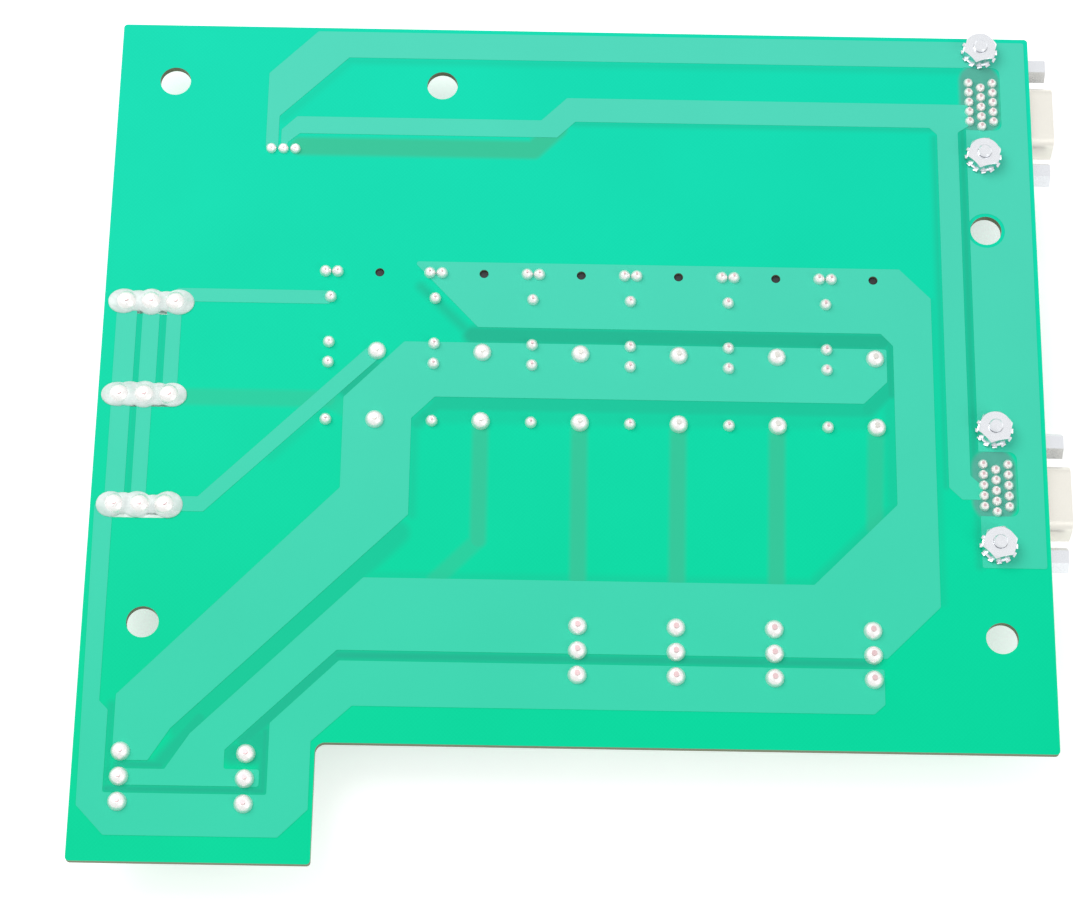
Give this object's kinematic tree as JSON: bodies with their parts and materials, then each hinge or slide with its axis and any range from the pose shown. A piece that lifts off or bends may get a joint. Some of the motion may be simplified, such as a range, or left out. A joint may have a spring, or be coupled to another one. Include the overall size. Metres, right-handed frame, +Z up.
{
  "type": "power distribution board",
  "caption": "L-shaped circuit board lying face down, solder side up, with fused outlets, power headers and edge data connectors beneath.",
  "frame": {"origin": "centre of the overall box on the plane that the headers' rims and connector flanges stand on", "axes": "+Z up, out of the solder side; +X towards the edge with the data connectors; +Y towards the long straight edge, away from the tongue"},
  "size_m": [0.1994, 0.184, 0.0179],
  "materials": {
    "board_green": "solder mask over glass laminate",
    "masked_copper": "solder mask over copper",
    "masked_copper_under": "solder mask over copper",
    "black_moulding": "moulded",
    "lamp_lens": "tinted clear",
    "plated_spring": "tin plated",
    "fuse_glass": "clear",
    "plated_cap": "nickel plated",
    "fuse_wire": "bright",
    "tinned_wire": "tinned",
    "resistor_lacquer": "lacquered with bands",
    "diode_epoxy": "moulded with a pale band",
    "header_moulding": "moulded",
    "clear_sealant": "brushed on, cloudy clear",
    "tinned_pin": "tinned",
    "plated_steel": "nickel plated",
    "connector_moulding": "moulded",
    "gold_contact": "gold flashed",
    "plated_hardware": "zinc plated",
    "solder": "bright, domed"
  },
  "bodies": {
    "root": {"axial_joints": "solder", "board_laminate": "board_green", "contact_joints": "solder", "copper_ground": "masked_copper", "copper_links": "masked_copper", "copper_return": "masked_copper", "copper_shield": "masked_copper", "copper_signal": "masked_copper", "copper_supply": "masked_copper", "copper_underside": "masked_copper_under", "data_contacts_1": "gold_contact", "data_contacts_2": "gold_contact", "data_insulator_1": "connector_moulding", "data_insulator_2": "connector_moulding", "data_shell_1": "plated_steel", "data_shell_2": "plated_steel", "diode_leads": "tinned_wire", "feed_header_1": "header_moulding", "feed_header_2": "header_moulding", "fixing_screws": "plated_hardware", "fuse_base_1": "black_moulding", "fuse_base_2": "black_moulding", "fuse_base_3": "black_moulding", "fuse_base_4": "black_moulding", "fuse_base_5": "black_moulding", "fuse_base_6": "black_moulding", "fuse_caps": "plated_cap", "fuse_clips": "plated_spring", "fuse_elements": "fuse_wire", "fuse_tubes": "fuse_glass", "guard_diodes": "diode_epoxy", "header_pins": "tinned_pin", "jackscrews": "plated_hardware", "joint_sealant_1": "clear_sealant", "joint_sealant_2": "clear_sealant", "joint_sealant_3": "clear_sealant", "lamp_joints": "solder", "lamp_leads": "tinned_wire", "lamp_resistors": "resistor_lacquer", "link_header_1": "header_moulding", "link_header_2": "header_moulding", "link_header_3": "header_moulding", "link_joints": "solder", "lock_nuts": "plated_hardware", "lock_washers": "plated_hardware", "output_header_1": "header_moulding", "output_header_2": "header_moulding", "output_header_3": "header_moulding", "output_header_4": "header_moulding", "power_joints": "solder", "resistor_leads": "tinned_wire", "signal_header": "black_moulding", "signal_joints": "solder", "signal_pins": "tinned_pin", "status_lamp_1": "lamp_lens", "status_lamp_2": "lamp_lens", "status_lamp_3": "lamp_lens", "status_lamp_4": "lamp_lens", "status_lamp_5": "lamp_lens", "status_lamp_6": "lamp_lens"}
  },
  "joints": []
}
